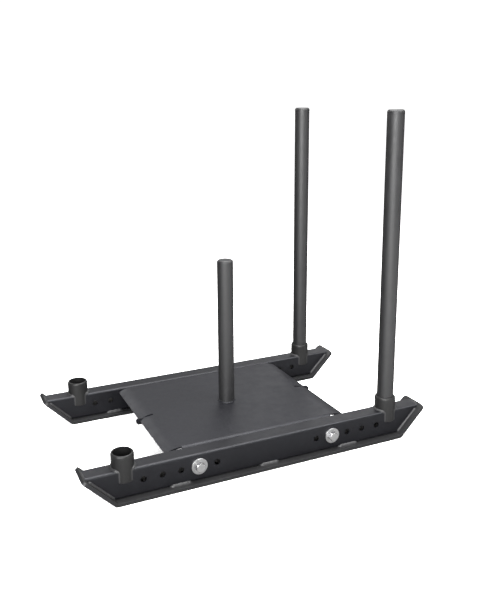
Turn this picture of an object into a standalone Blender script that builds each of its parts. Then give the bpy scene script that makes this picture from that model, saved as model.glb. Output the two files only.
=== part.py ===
"""A weight sled: two skis with rails, a bolted deck with a post for plates, and two push poles.

Metres, +Z up. The origin is on the floor at the middle of the footprint. +X points to the
pusher's end, where the two poles stand, and the left side is -Y.
"""

import math

import bmesh
import bpy
from mathutils import Matrix, Vector

# Clearances
GAP = 0.0003                # between pieces that touch
RUNNING = 0.0005            # between a pole and the sleeve that it lifts out of

# Skis: flat bar, both ends bent up
SKI_FLAT_LENGTH = 0.8660    # between the two bends, along the floor
SKI_WIDTH = 0.0889
SKI_THICKNESS = 0.0095
SKI_SLOPE_LENGTH = 0.1185   # along the underside, from the bend to the tip
SKI_SLOPE_ANGLE = math.radians(45)
SKI_BEND_RADIUS = 0.0060    # inside of the bend
SKI_TIP_RADIUS = 0.0130     # the tip's two corners

# Rails: rectangular tube standing on the skis
RAIL_SPACING = 0.5080       # between the two centre lines
RAIL_WIDTH = 0.0508
RAIL_HEIGHT = 0.0762
RAIL_WALL = 0.0030
RAIL_CORNER = 0.0068        # outer corner radius

# Bolt holes along each rail, counted in pitches from the middle
HOLE_PITCH = 0.0508
HOLE_DIAMETER = 0.0167
HOLE_DROP = 0.0352          # below the rail's top
FIRST_HOLE = 3
BOLT_HOLE = 4               # the hole at each end that holds the deck

# Sleeves let into the rail tops
SLEEVE_INSET = 0.0310       # from the ski's bend to the sleeve's axis
SLEEVE_WALL = 0.0055
SLEEVE_LENGTH = 0.0730
SLEEVE_RISE = 0.0395        # mouth above the rail's top
SLEEVE_MOUTH_SLOPE = 0.0070     # height of the rounded-off mouth
SLEEVE_MOUTH_INSET = 0.0034     # how far it draws in

# Round tube of the poles and the post
POLE_DIAMETER = 0.0483
POLE_WALL = 0.0037
POLE_LENGTH = 0.9045        # with its cap
POST_LENGTH = 0.4414        # with its cap
CAP_HEIGHT = 0.0080         # the part above the tube's end
CAP_EDGE_RADIUS = 0.0068
CAP_PLUG_DEPTH = 0.0120     # the part inside the tube

# Deck: one sheet, sides bent down inside the rails, ends curved down
DECK_THICKNESS = 0.0048
DECK_BEND_RADIUS = 0.0110   # outside of the bend
DECK_DEPTH = 0.0635         # from its top to the flanges' lower edge
DECK_FLAT_LENGTH = 0.4610   # between the two lips, and of the flanges
LIP_RADIUS = 0.1150         # of the lip's upper face
LIP_ANGLE = math.radians(25)
LIP_INSET = 0.0055          # of the lip's two ends, from the flanges' outer faces
LIP_CORNER = 0.0060         # at the lip's two ends
SLIT_INSET = 0.0060         # from the lip's start to the slit's end
SLIT_WIDTH = 0.0080
SLIT_CORNER = 0.0020

# Bar on edge under the deck
RIB_THICKNESS = 0.0064
RIB_HEIGHT = 0.0175
RIB_LENGTH = 0.5780
RIB_END_RADIUS = 0.0085
RIB_CLEARANCE = 0.0006      # under the deck

# Bolts, washers and nuts
BOLT_DIAMETER = 0.0159
BOLT_OVERHANG = 0.0048      # past the nut
HEX_ACROSS_FLATS = 0.0238
HEX_CHAMFER = math.radians(35)  # turned off the corners, against the end face
HEAD_HEIGHT = 0.0099
NUT_HEIGHT = 0.0139
WASHER_DIAMETER = 0.0445
WASHER_HOLE = 0.0167
WASHER_THICKNESS = 0.0034
SHANK_CHAMFER = 0.0012

# Number of sides of round pieces
TUBE_SIDES = 40
HOLE_SIDES = 16
BOLT_SIDES = 24
WASHER_SIDES = 32
ARC_STEPS = 4

# Places that follow from the sizes above
SKI_HALF = SKI_FLAT_LENGTH / 2
RAIL_BOTTOM = SKI_THICKNESS + GAP
RAIL_TOP = RAIL_BOTTOM + RAIL_HEIGHT
RAIL_Y = RAIL_SPACING / 2
RAIL_OUTER_FACE = RAIL_Y + RAIL_WIDTH / 2
RAIL_INNER_FACE = RAIL_Y - RAIL_WIDTH / 2
HOLE_Z = RAIL_TOP - HOLE_DROP
BOLT_X = BOLT_HOLE * HOLE_PITCH
SLEEVE_X = SKI_HALF - SLEEVE_INSET
SLEEVE_BORE = POLE_DIAMETER + 2 * RUNNING
SLEEVE_DIAMETER = SLEEVE_BORE + 2 * SLEEVE_WALL
SLEEVE_TOP = RAIL_TOP + SLEEVE_RISE
SLEEVE_BOTTOM = SLEEVE_TOP - SLEEVE_LENGTH
DECK_HALF_WIDTH = RAIL_INNER_FACE - GAP
DECK_TOP = RAIL_TOP
LIP_START = DECK_FLAT_LENGTH / 2
LIP_END = LIP_START + LIP_RADIUS * math.sin(LIP_ANGLE)
LIP_HALF_WIDTH = DECK_HALF_WIDTH - LIP_INSET
DECK_FLAT_HALF_WIDTH = DECK_HALF_WIDTH - DECK_BEND_RADIUS
RIB_TOP = DECK_TOP - DECK_THICKNESS - RIB_CLEARANCE
OUTER_WASHER_Y = RAIL_OUTER_FACE + GAP
BOLT_HEAD_Y = OUTER_WASHER_Y + WASHER_THICKNESS + GAP
INNER_WASHER_Y = DECK_HALF_WIDTH - DECK_THICKNESS - GAP - WASHER_THICKNESS
NUT_Y = INNER_WASHER_Y - GAP - NUT_HEIGHT
BOLT_LENGTH = BOLT_HEAD_Y - NUT_Y + BOLT_OVERHANG    # under the head
HEX_CORNER = HEX_ACROSS_FLATS / 2 / math.cos(math.pi / 6)
FAR = 1.2 * (SKI_FLAT_LENGTH + RAIL_SPACING)    # reaches past the whole sled


def paint(name, colour, roughness, metallic=0.0):
    """A Principled material; the colour is linear red, green and blue."""
    material = bpy.data.materials.new(name)
    material.use_nodes = True
    shader = material.node_tree.nodes["Principled BSDF"]
    shader.inputs["Base Color"].default_value = (*colour, 1.0)
    shader.inputs["Roughness"].default_value = roughness
    shader.inputs["Metallic"].default_value = metallic
    return material


def add_object(name, bm, material=None, location=(0, 0, 0)):
    """Turns the bmesh into an object; round sides are shaded smooth."""
    bmesh.ops.recalc_face_normals(bm, faces=bm.faces)
    mesh = bpy.data.meshes.new(name)
    bm.to_mesh(mesh)
    bm.free()
    mesh.shade_smooth()
    mesh.set_sharp_from_angle(angle=math.radians(30))
    obj = bpy.data.objects.new(name, mesh)
    obj.location = location
    if material:
        mesh.materials.append(material)
    bpy.context.scene.collection.objects.link(obj)
    return obj


def add_cutter(name, bm):
    obj = add_object(name, bm)
    obj.hide_render = True
    obj.display_type = "WIRE"
    return obj


def cut(obj, cutter, operation="DIFFERENCE"):
    modifier = obj.modifiers.new(cutter.name, "BOOLEAN")
    modifier.object = cutter
    modifier.operation = operation
    modifier.solver = "EXACT"


def arc(centre, radius, start, end, steps=ARC_STEPS):
    """Points on an arc, both ends included; angles in radians."""
    angles = [start + (end - start) * i / steps for i in range(steps + 1)]
    return [(centre[0] + radius * math.cos(a), centre[1] + radius * math.sin(a)) for a in angles]


def rounded_rectangle(low, high, radius):
    """Outline of a rectangle with four rounded corners, anticlockwise."""
    (left, bottom), (right, top) = low, high
    quarter = math.pi / 2
    corners = [(right - radius, bottom + radius), (right - radius, top - radius),
               (left + radius, top - radius), (left + radius, bottom + radius)]
    outline = []
    for index, corner in enumerate(corners):
        outline += arc(corner, radius, (index - 1) * quarter, index * quarter)
    return outline


def add_prism(bm, outline, along, low, high):
    """Adds a closed prism. The outline lies across the axis, as pairs of the other two axes."""
    def point(pair, height):
        values = list(pair)
        values.insert("XYZ".index(along), height)
        return Vector(values)

    first = [bm.verts.new(point(pair, low)) for pair in outline]
    last = [bm.verts.new(point(pair, high)) for pair in outline]
    bm.faces.new(first)
    bm.faces.new(last)
    for i, vertex in enumerate(first):
        after = (i + 1) % len(first)
        bm.faces.new((vertex, first[after], last[after], last[i]))


def prism(outline, along, low, high):
    bm = bmesh.new()
    add_prism(bm, outline, along, low, high)
    return bm


def add_cylinder(bm, centre, radius, length, along, sides):
    """Adds a closed cylinder whose middle is at centre."""
    turn = {"X": Matrix.Rotation(math.pi / 2, 4, "Y"),
            "Y": Matrix.Rotation(math.pi / 2, 4, "X"),
            "Z": Matrix.Identity(4)}[along]
    bmesh.ops.create_cone(bm, cap_ends=True, segments=sides, radius1=radius, radius2=radius,
                          depth=length, matrix=Matrix.Translation(centre) @ turn)


def lathe(profile, sides, closed):
    """Turns (radius, height) points round Z. A closed profile gives a ring, an open one starts
    and ends on the axis."""
    bm = bmesh.new()
    rings = []
    for radius, height in profile:
        if radius == 0:
            rings.append([bm.verts.new((0, 0, height))])
            continue
        circle = arc((0, 0), radius, 0, 2 * math.pi, sides)[:-1]
        rings.append([bm.verts.new((x, y, height)) for x, y in circle])
    pairs = list(zip(rings, rings[1:]))
    if closed:
        pairs.append((rings[-1], rings[0]))
    for lower, upper in pairs:
        for i in range(sides):
            corners = [lower[i % len(lower)], lower[(i + 1) % len(lower)],
                       upper[(i + 1) % len(upper)], upper[i % len(upper)]]
            bm.faces.new(list(dict.fromkeys(corners)))
    return bm


def tube(outer_radius, wall, low, high, sides=TUBE_SIDES):
    inner_radius = outer_radius - wall
    profile = [(inner_radius, low), (outer_radius, low), (outer_radius, high), (inner_radius, high)]
    return lathe(profile, sides, closed=True)


def ski_line(height):
    """The ski's long section at this height above its underside, as (x, z) from the front tip to
    the rear one."""
    radius = SKI_BEND_RADIUS + SKI_THICKNESS - height
    bend_start = SKI_HALF - (SKI_BEND_RADIUS + SKI_THICKNESS) * math.tan(SKI_SLOPE_ANGLE / 2)
    centre = (bend_start, SKI_THICKNESS + SKI_BEND_RADIUS)
    down = -math.pi / 2
    half = arc(centre, radius, down, down + SKI_SLOPE_ANGLE)
    tip_x = SKI_HALF + SKI_SLOPE_LENGTH * math.cos(SKI_SLOPE_ANGLE) - height * math.sin(SKI_SLOPE_ANGLE)
    tip_z = SKI_SLOPE_LENGTH * math.sin(SKI_SLOPE_ANGLE) + height * math.cos(SKI_SLOPE_ANGLE)
    half.append((tip_x, tip_z))
    return [(-x, z) for x, z in reversed(half)] + half


def ski_tip_cutter(name, end, y):
    """Cuts the two corners of a ski's tip round: a plate standing past the tip, with an arched
    front edge, square to the slope."""
    half_width = SKI_WIDTH / 2
    quarter = math.pi / 2
    reach = SKI_SLOPE_LENGTH - SKI_TIP_RADIUS
    side = half_width - SKI_TIP_RADIUS
    outline = [(reach, -FAR), (reach, -half_width)]
    outline += arc((reach, -side), SKI_TIP_RADIUS, -quarter, 0)[1:]
    outline += arc((reach, side), SKI_TIP_RADIUS, 0, quarter)
    outline += [(reach, FAR), (FAR, FAR), (FAR, -FAR)]
    bm = prism(outline, "Z", -SKI_THICKNESS, 2 * SKI_THICKNESS)
    tilt = Matrix.Rotation(-SKI_SLOPE_ANGLE, 4, "Y")
    turn = Matrix.Rotation(0 if end > 0 else math.pi, 4, "Z")
    bm.transform(Matrix.Translation((end * SKI_HALF, y, 0)) @ turn @ tilt)
    return add_cutter(name, bm)


def build_ski(side_name, y, material):
    outline = ski_line(0) + list(reversed(ski_line(SKI_THICKNESS)))
    bar = prism(outline, "Y", y - SKI_WIDTH / 2, y + SKI_WIDTH / 2)
    ski = add_object(f"{side_name}_ski", bar, material)
    for end, end_name in ((-1, "front"), (1, "rear")):
        cut(ski, ski_tip_cutter(f"cut_{side_name}_{end_name}_tip", end, y))


def hole_cutter(name, counts):
    """Cylinders across the whole sled at these numbers of hole pitches."""
    bm = bmesh.new()
    for count in counts:
        add_cylinder(bm, (count * HOLE_PITCH, 0, HOLE_Z), HOLE_DIAMETER / 2, FAR, "Y", HOLE_SIDES)
    return add_cutter(name, bm)


def last_hole():
    """The last whole pitch whose hole clears the sleeve."""
    room = SLEEVE_X - SLEEVE_DIAMETER / 2 - HOLE_DIAMETER / 2
    return int(room / HOLE_PITCH)


def build_rail(side_name, y, material, cutters):
    """The tube's ends follow the ski's slope, and a round seat is cut for each sleeve."""
    half = RAIL_WIDTH / 2
    low, high = (y - half, RAIL_BOTTOM), (y + half, RAIL_TOP)
    blank = prism(rounded_rectangle(low, high, RAIL_CORNER), "X", -FAR / 2, FAR / 2)
    rail = add_object(f"{side_name}_rail", blank, material)

    inner_low = (low[0] + RAIL_WALL, low[1] + RAIL_WALL)
    inner_high = (high[0] - RAIL_WALL, high[1] - RAIL_WALL)
    inside = rounded_rectangle(inner_low, inner_high, RAIL_CORNER - RAIL_WALL)
    cut(rail, add_cutter(f"cut_{side_name}_rail_inside", prism(inside, "X", -FAR, FAR)))

    outline = ski_line(SKI_THICKNESS + GAP)
    top = RAIL_TOP + RAIL_HEIGHT
    front_x, rear_x = outline[0][0], outline[-1][0]
    outline += [(rear_x, top), (front_x, top)]
    ends = add_cutter(f"keep_{side_name}_rail", prism(outline, "Y", y - RAIL_WIDTH, y + RAIL_WIDTH))
    cut(rail, ends, "INTERSECT")

    bm = bmesh.new()
    seat = SLEEVE_BOTTOM - GAP
    for x in (-SLEEVE_X, SLEEVE_X):
        centre = (x, y, seat + RAIL_HEIGHT)
        add_cylinder(bm, centre, SLEEVE_DIAMETER / 2 + GAP, 2 * RAIL_HEIGHT, "Z", TUBE_SIDES)
    cut(rail, add_cutter(f"cut_{side_name}_sleeve_seats", bm))
    for cutter in cutters:
        cut(rail, cutter)


def build_sleeve(name, x, y, material):
    """A short tube whose mouth is rounded off outside."""
    outer, bore = SLEEVE_DIAMETER / 2, SLEEVE_BORE / 2
    profile = [(bore, SLEEVE_BOTTOM), (outer, SLEEVE_BOTTOM)]
    for step in range(ARC_STEPS + 1):
        angle = math.pi / 2 * step / ARC_STEPS
        inset = SLEEVE_MOUTH_INSET * (1 - math.cos(angle))
        drop = SLEEVE_MOUTH_SLOPE * (1 - math.sin(angle))
        profile.append((outer - inset, SLEEVE_TOP - drop))
    profile.append((bore, SLEEVE_TOP))
    add_object(name, lathe(profile, TUBE_SIDES, closed=True), material, (x, y, 0))


def build_capped_tube(name, length, location, material):
    """A round tube open at its foot, and the cap that closes its top."""
    radius = POLE_DIAMETER / 2
    tube_top = length - CAP_HEIGHT - GAP
    pipe = add_object(name, tube(radius, POLE_WALL, 0, tube_top), material, location)

    plug = radius - POLE_WALL - GAP
    plug_end = tube_top - CAP_PLUG_DEPTH
    seat = length - CAP_HEIGHT
    edge_centre = (radius - CAP_EDGE_RADIUS, length - CAP_EDGE_RADIUS)
    profile = [(0, plug_end), (plug, plug_end), (plug, seat), (radius, seat)]
    profile += arc(edge_centre, CAP_EDGE_RADIUS, 0, math.pi / 2) + [(0, length)]
    cap = add_object(f"{name}_cap", lathe(profile, TUBE_SIDES, closed=False), material)
    cap.parent = pipe


def deck_side_outline(side):
    """Section of a deck edge across the sled: the bend and the flange, as (y, z)."""
    outer, inner = DECK_BEND_RADIUS, DECK_BEND_RADIUS - DECK_THICKNESS
    centre = (DECK_HALF_WIDTH - outer, DECK_TOP - outer)
    bottom = DECK_TOP - DECK_DEPTH
    overlap = DECK_FLAT_HALF_WIDTH - DECK_THICKNESS
    outline = [(overlap, DECK_TOP)] + arc(centre, outer, math.pi / 2, 0)
    outline += [(DECK_HALF_WIDTH, bottom), (DECK_HALF_WIDTH - DECK_THICKNESS, bottom)]
    outline += arc(centre, inner, 0, math.pi / 2) + [(overlap, DECK_TOP - DECK_THICKNESS)]
    return [(side * y, z) for y, z in outline]


def deck_middle_outline():
    """Section of the deck's middle along the sled: flat, with a lip curving down at each end."""
    def edge(radius):
        centre = (LIP_START, DECK_TOP - LIP_RADIUS)
        up = math.pi / 2
        half = arc(centre, radius, up, up - LIP_ANGLE)
        return [(-x, z) for x, z in reversed(half)] + half

    return edge(LIP_RADIUS) + list(reversed(edge(LIP_RADIUS - DECK_THICKNESS)))


def slit_outline(end):
    """Plan of the slit in a lip, from its round end out past the lip's edge."""
    half, up = SLIT_WIDTH / 2, math.pi / 2
    outline = arc((LIP_START + SLIT_INSET + half, 0), half, up, up + math.pi)
    flare = arc((LIP_END - SLIT_CORNER, -half - SLIT_CORNER), SLIT_CORNER, up, 0)
    outline += flare + [(FAR, flare[-1][1]), (FAR, -flare[-1][1])]
    outline += [(x, -y) for x, y in reversed(flare)]
    return [(end * x, y) for x, y in outline]


def corner_outline(end, side):
    """Plan of what is cut off a lip's outer corner to round it."""
    centre = (LIP_END - LIP_CORNER, LIP_HALF_WIDTH - LIP_CORNER)
    outline = arc(centre, LIP_CORNER, math.pi / 2, 0)
    outline += [(FAR, centre[1]), (FAR, FAR), (centre[0], FAR)]
    return [(end * x, side * y) for x, y in outline]


def bend_outline(side):
    """Plan of what is cut off the middle between the lips, where the bend takes its place."""
    low, high = side * DECK_FLAT_HALF_WIDTH, side * FAR
    return [(-LIP_START, low), (LIP_START, low), (LIP_START, high), (-LIP_START, high)]


def build_deck(material, bolt_holes):
    middle = prism(deck_middle_outline(), "Y", -LIP_HALF_WIDTH, LIP_HALF_WIDTH)
    deck = add_object("deck_plate", middle, material)
    bm = bmesh.new()
    for side in (-1, 1):
        add_prism(bm, bend_outline(side), "Z", DECK_TOP - LIP_RADIUS / 2, DECK_TOP + DECK_THICKNESS)
    cut(deck, add_cutter("cut_bends", bm))
    for side, side_name in ((-1, "left"), (1, "right")):
        bm = prism(deck_side_outline(side), "X", -LIP_START, LIP_START)
        cut(deck, add_cutter(f"add_{side_name}_flange", bm), "UNION")

    low, high = DECK_TOP - LIP_RADIUS / 2, DECK_TOP + DECK_THICKNESS
    bm = bmesh.new()
    for end in (-1, 1):
        for outline in (slit_outline(end), corner_outline(end, -1), corner_outline(end, 1)):
            add_prism(bm, outline, "Z", low, high)
    cut(deck, add_cutter("cut_lips", bm))
    cut(deck, bolt_holes)


def build_rib(material):
    """A straight bar on edge. The lips curve down past it, so its ends stand in their slits."""
    half = RIB_LENGTH / 2
    low, high = (-half, RIB_TOP - RIB_HEIGHT), (half, RIB_TOP)
    outline = rounded_rectangle(low, high, RIB_END_RADIUS)
    add_object("centre_rib", prism(outline, "Y", -RIB_THICKNESS / 2, RIB_THICKNESS / 2), material)


def hexagon():
    turns = [math.pi / 6 + math.pi / 3 * i for i in range(6)]
    return [(HEX_CORNER * math.cos(a), HEX_CORNER * math.sin(a)) for a in turns]


def round_off_hexagon(obj, name, low, high, both_ends):
    """Takes the six corners off a hexagon's end faces, as turning leaves them."""
    flat = HEX_ACROSS_FLATS / 2
    wide = HEX_CORNER + GAP
    drop = (wide - flat) * math.tan(HEX_CHAMFER)
    if both_ends:
        profile = [(0, low), (flat, low), (wide, low + drop)]
    else:
        profile = [(0, low - GAP), (wide, low - GAP)]
    profile += [(wide, high - drop), (flat, high), (0, high)]
    keep = add_cutter(f"keep_{name}", lathe(profile, BOLT_SIDES, closed=False))
    keep.parent = obj
    cut(obj, keep, "INTERSECT")


def build_fasteners(x, end_name, side, side_name, material):
    """One bolt with its two washers and nut. The pieces are built upright, then laid along Y with
    the head outside."""
    place = f"{side_name}_{end_name}"
    turn = Matrix.Rotation(-side * math.pi / 2, 4, "X")

    def lay(obj, distance):
        """distance is how far out the piece's local zero lies from the sled's middle."""
        obj.matrix_world = Matrix.Translation((x, side * distance, HOLE_Z)) @ turn

    ring = (WASHER_DIAMETER - WASHER_HOLE) / 2
    washer = tube(WASHER_DIAMETER / 2, ring, 0, WASHER_THICKNESS, WASHER_SIDES)
    outer_washer = add_object(f"{place}_outer_washer", washer, material)
    lay(outer_washer, OUTER_WASHER_Y)
    inner_washer = bpy.data.objects.new(f"{place}_inner_washer", outer_washer.data)
    bpy.context.scene.collection.objects.link(inner_washer)
    lay(inner_washer, INNER_WASHER_Y)

    bolt = add_object(f"{place}_bolt", prism(hexagon(), "Z", 0, HEAD_HEIGHT), material)
    round_off_hexagon(bolt, f"{place}_head", 0, HEAD_HEIGHT, both_ends=False)
    radius = BOLT_DIAMETER / 2
    end = -BOLT_LENGTH
    shank_profile = [(0, end), (radius - SHANK_CHAMFER, end), (radius, end + SHANK_CHAMFER),
                     (radius, HEAD_HEIGHT / 2), (0, HEAD_HEIGHT / 2)]
    shank = add_cutter(f"add_{place}_shank", lathe(shank_profile, BOLT_SIDES, closed=False))
    shank.parent = bolt
    cut(bolt, shank, "UNION")
    lay(bolt, BOLT_HEAD_Y)

    nut = add_object(f"{place}_nut", prism(hexagon(), "Z", 0, NUT_HEIGHT), material)
    round_off_hexagon(nut, f"{place}_nut", 0, NUT_HEIGHT, both_ends=True)
    bm = bmesh.new()
    add_cylinder(bm, (0, 0, NUT_HEIGHT / 2), radius + GAP, 2 * NUT_HEIGHT, "Z", BOLT_SIDES)
    thread = add_cutter(f"cut_{place}_nut", bm)
    thread.parent = nut
    cut(nut, thread)
    lay(nut, NUT_Y)


def clear_scene():
    for obj in list(bpy.data.objects):
        bpy.data.objects.remove(obj, do_unlink=True)


def build_sled():
    clear_scene()
    black = paint("black_powder_coat", (0.050, 0.050, 0.053), 0.45)
    grey = paint("grey_powder_coat", (0.085, 0.085, 0.090), 0.50)
    zinc = paint("zinc_plating", (0.55, 0.55, 0.54), 0.30, metallic=1.0)

    numbers = [n for n in range(FIRST_HOLE, last_hole() + 1) if n != BOLT_HOLE]
    spare_holes = hole_cutter("cut_spare_holes", [-n for n in reversed(numbers)] + numbers)
    bolt_holes = hole_cutter("cut_bolt_holes", [-BOLT_HOLE, BOLT_HOLE])

    for side, side_name in ((-1, "left"), (1, "right")):
        y = side * RAIL_Y
        build_ski(side_name, y, black)
        build_rail(side_name, y, black, (spare_holes, bolt_holes))
        for end, end_name in ((-1, "front"), (1, "rear")):
            build_sleeve(f"{side_name}_{end_name}_sleeve", end * SLEEVE_X, y, black)
            build_fasteners(end * BOLT_X, end_name, side, side_name, zinc)
        build_capped_tube(f"{side_name}_upright", POLE_LENGTH, (SLEEVE_X, y, SLEEVE_BOTTOM), black)

    build_deck(grey, bolt_holes)
    build_rib(black)
    build_capped_tube("weight_post", POST_LENGTH, (0, 0, DECK_TOP + GAP), black)


build_sled()
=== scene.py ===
"""Looks of the weight sled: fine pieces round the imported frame, powder coat, zinc, floor, light, camera.

Metres, +Z up, the frame's own axes: +X is the pusher's end, the left side is -Y.
"""

import math

import bmesh
import bpy
from mathutils import Matrix, Vector


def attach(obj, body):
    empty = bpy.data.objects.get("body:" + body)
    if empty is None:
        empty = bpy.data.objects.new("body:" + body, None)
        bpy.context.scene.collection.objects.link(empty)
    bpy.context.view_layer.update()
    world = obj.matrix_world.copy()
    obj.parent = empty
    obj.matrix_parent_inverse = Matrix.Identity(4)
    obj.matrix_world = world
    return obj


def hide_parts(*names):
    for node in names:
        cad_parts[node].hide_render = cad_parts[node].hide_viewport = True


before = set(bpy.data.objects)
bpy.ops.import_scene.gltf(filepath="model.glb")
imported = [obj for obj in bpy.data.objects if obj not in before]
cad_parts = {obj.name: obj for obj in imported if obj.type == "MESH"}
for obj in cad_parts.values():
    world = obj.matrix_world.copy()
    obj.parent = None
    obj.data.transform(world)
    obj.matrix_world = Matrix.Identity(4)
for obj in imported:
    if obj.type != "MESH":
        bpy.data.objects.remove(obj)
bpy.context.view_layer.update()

# Sizes of the construction, as in the part's source
GAP = 0.0003                # between pieces that touch
SKI_HALF = 0.4330
SKI_WIDTH = 0.0889
SKI_THICKNESS = 0.0095
SKI_SLOPE_LENGTH = 0.1185
SKI_SLOPE_ANGLE = math.radians(45)
SKI_BEND_RADIUS = 0.0060
SKI_TIP_RADIUS = 0.0130
RAIL_Y = 0.2540
RAIL_WIDTH = 0.0508
RAIL_HEIGHT = 0.0762
RAIL_WALL = 0.0030
RAIL_CORNER = 0.0068
RAIL_BOTTOM = SKI_THICKNESS + GAP
RAIL_TOP = RAIL_BOTTOM + RAIL_HEIGHT
RAIL_OUTER_FACE = RAIL_Y + RAIL_WIDTH / 2
RAIL_INNER_FACE = RAIL_Y - RAIL_WIDTH / 2
HOLE_PITCH = 0.0508
HOLE_DIAMETER = 0.0167
HOLE_PLACES = (3, 4, 5, 6, 7)   # in pitches from the middle
BOLT_HOLE = 4               # the hole at each end that holds the deck
HOLE_DROP = 0.0352          # below the rail's top
HOLE_Z = RAIL_TOP - HOLE_DROP
SLEEVE_X = 0.4020
SLEEVE_DIAMETER = 0.0603
SLEEVE_BORE = 0.0493
SLEEVE_RISE = 0.0395        # mouth above the rail's top
SLEEVE_LENGTH = 0.0730
SLEEVE_MOUTH_SLOPE = 0.0070     # height of the rounded-off mouth
SLEEVE_MOUTH_INSET = 0.0034     # how far it draws in
SLEEVE_TOP = RAIL_TOP + SLEEVE_RISE
SLEEVE_BOTTOM = SLEEVE_TOP - SLEEVE_LENGTH
POLE_DIAMETER = 0.0483
POLE_WALL = 0.0037
POLE_LENGTH = 0.9045
POST_LENGTH = 0.4414
CAP_HEIGHT = 0.0080
CAP_EDGE_RADIUS = 0.0068
DECK_TOP = RAIL_TOP
DECK_THICKNESS = 0.0048
DECK_BEND_RADIUS = 0.0110
DECK_DEPTH = 0.0635
DECK_HALF_WIDTH = RAIL_INNER_FACE - GAP
LIP_START = 0.2305
LIP_RADIUS = 0.1150
LIP_ANGLE = math.radians(25)
LIP_INSET = 0.0055
LIP_CORNER = 0.0060
LIP_END = LIP_START + LIP_RADIUS * math.sin(LIP_ANGLE)
LIP_HALF_WIDTH = DECK_HALF_WIDTH - LIP_INSET
DECK_FLAT_HALF_WIDTH = DECK_HALF_WIDTH - DECK_BEND_RADIUS
SLIT_INSET = 0.0060
SLIT_WIDTH = 0.0080
SLIT_CORNER = 0.0020
RIB_THICKNESS = 0.0064
RIB_HEIGHT = 0.0175
RIB_LENGTH = 0.5780
RIB_END_RADIUS = 0.0085
RIB_CLEARANCE = 0.0006      # under the deck
RIB_TOP = DECK_TOP - DECK_THICKNESS - RIB_CLEARANCE
BOLT_DIAMETER = 0.0159
BOLT_OVERHANG = 0.0048
HEX_ACROSS_FLATS = 0.0238
HEAD_HEIGHT = 0.0099
NUT_HEIGHT = 0.0139
WASHER_DIAMETER = 0.0445
WASHER_HOLE = 0.0167
WASHER_THICKNESS = 0.0034
OUTER_WASHER_Y = RAIL_OUTER_FACE + GAP
BOLT_HEAD_Y = OUTER_WASHER_Y + WASHER_THICKNESS + GAP
INNER_WASHER_Y = DECK_HALF_WIDTH - DECK_THICKNESS - GAP - WASHER_THICKNESS
NUT_Y = INNER_WASHER_Y - GAP - NUT_HEIGHT
BOLT_LENGTH = BOLT_HEAD_Y - NUT_Y + BOLT_OVERHANG

# Detail that only the looks have
COATED_EDGE = 0.0007        # rounding of a coated sheared or sawn edge
SHEET_EDGE = 0.0006
HEX_EDGE = 0.0003           # rounding on heads and nuts
HEX_FACE_INSET = 0.0004     # from the flats in to the edge of the turned face
HEX_CHAMFER = math.radians(30)          # a little flatter than in the part's source
HEX_SPIN = {"front": 11, "rear": 26}    # degrees that each bolt is left turned by
NUT_SINK_WIDTH = 0.0009     # countersink of a nut's bore, past the thread
NUT_SINK_DEPTH = 0.0015
NUT_SINK_MIDDLE = 0.0007    # its middle, below the nut's face
WASHER_ROUND_EDGE = 0.0009
WASHER_BURR = 0.0002
BOLT_POINT = 0.0022         # chamfer at the threaded end
SHANK_OVERLAP = 0.0010      # how far the shank goes into the head
THREAD_PITCH = 0.00231
THREAD_DEPTH = 0.0012
THREAD_LENGTH = 0.0360
THREAD_RUN_OUT = 0.0020
THREAD_STEEPNESS = 1.25     # over 1, so that the root is flat
THREAD_CREST = 0.12         # taken off the tooth, so that the crest is flat

# Weld beads: width of each kind, and where the stitches are along X
STITCH_BEAD = 0.0078
SLOPE_BEAD = 0.0046
RAIL_TOP_BEAD = 0.0034
SLEEVE_BEAD = 0.0050
POST_BEAD = 0.0030
BAR_BEAD = 0.0040
OUTER_STITCHES = ((-0.285, -0.224), (-0.025, 0.034), (0.226, 0.291))
INNER_STITCHES = ((-0.320, -0.268), (-0.030, 0.030), (0.268, 0.320))
BAR_STITCHES = ((-0.215, -0.165), (-0.030, 0.030), (0.165, 0.215))
STITCH_INSET = 0.0025       # from the rail's side in to the line that a stitch follows
SLOPE_INSET = 0.0006
SLOPE_BEAD_START = 0.009
SLOPE_BEAD_LENGTH = 0.090
SEAM_INSET = 0.0002         # the same round a sleeve, from both faces
SEAM_FOOT = 0.0005          # from the sleeve's bottom up to the seam's ends
SEAM_SIDE_SHARE = 0.62      # width of the seam on the rail's side, as a share of that on its top
RIPPLE_LENGTH = 0.0022
RIPPLE_LAG = 0.9            # of its length, that a ripple's middle trails by
RIPPLE_HEIGHT = 0.07        # these five are shares of a bead's width
WIDTH_WANDER = 0.05
BEAD_FLATNESS = 0.16
BEAD_ROOT = 0.12
BEAD_LEAST = 0.02
BEAD_OVERLAP = 12           # degrees that a bead's skin goes on into each face

# Fineness of the meshes
HOLE_SIDES = 32
TUBE_SIDES = 96
BOLT_SIDES = 48
WASHER_SIDES = 64
FINE_ARC = 10
MOUTH_ARC = 12
WASHER_ARC = 5
POLE_ROWS = 12
THREAD_ROWS_PER_TURN = 8
BEAD_STEP = 0.0006
BEAD_POINTS = 9
POST_BEAD_STEPS = 240
MERGE_DISTANCE = 1e-6
FLAT_ANGLE = math.radians(0.3)          # faces that turn less than this are joined
SOFT_ANGLE = math.radians(28)           # edges that turn more than this are rounded
HEX_SOFT_ANGLE = math.radians(20)       # the same on heads and nuts
SHADING_ANGLE = math.radians(40)        # edges that turn more than this are shaded sharp

SIDES = ((-1, "left"), (1, "right"))
ENDS = ((-1, "front"), (1, "rear"))
QUARTER = math.pi / 2
FAR = 2.0                               # outside the sled
EDGE_MATERIAL = 1                       # place in a piece's materials of its worn edges
# a sleeve's bore and a hexagon's sides take painted shade in this place; a rail's inside takes its bare
# steel
INNER_MATERIAL = 2                      # of a bore, a tube's inside or the sides of a hexagon

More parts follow.
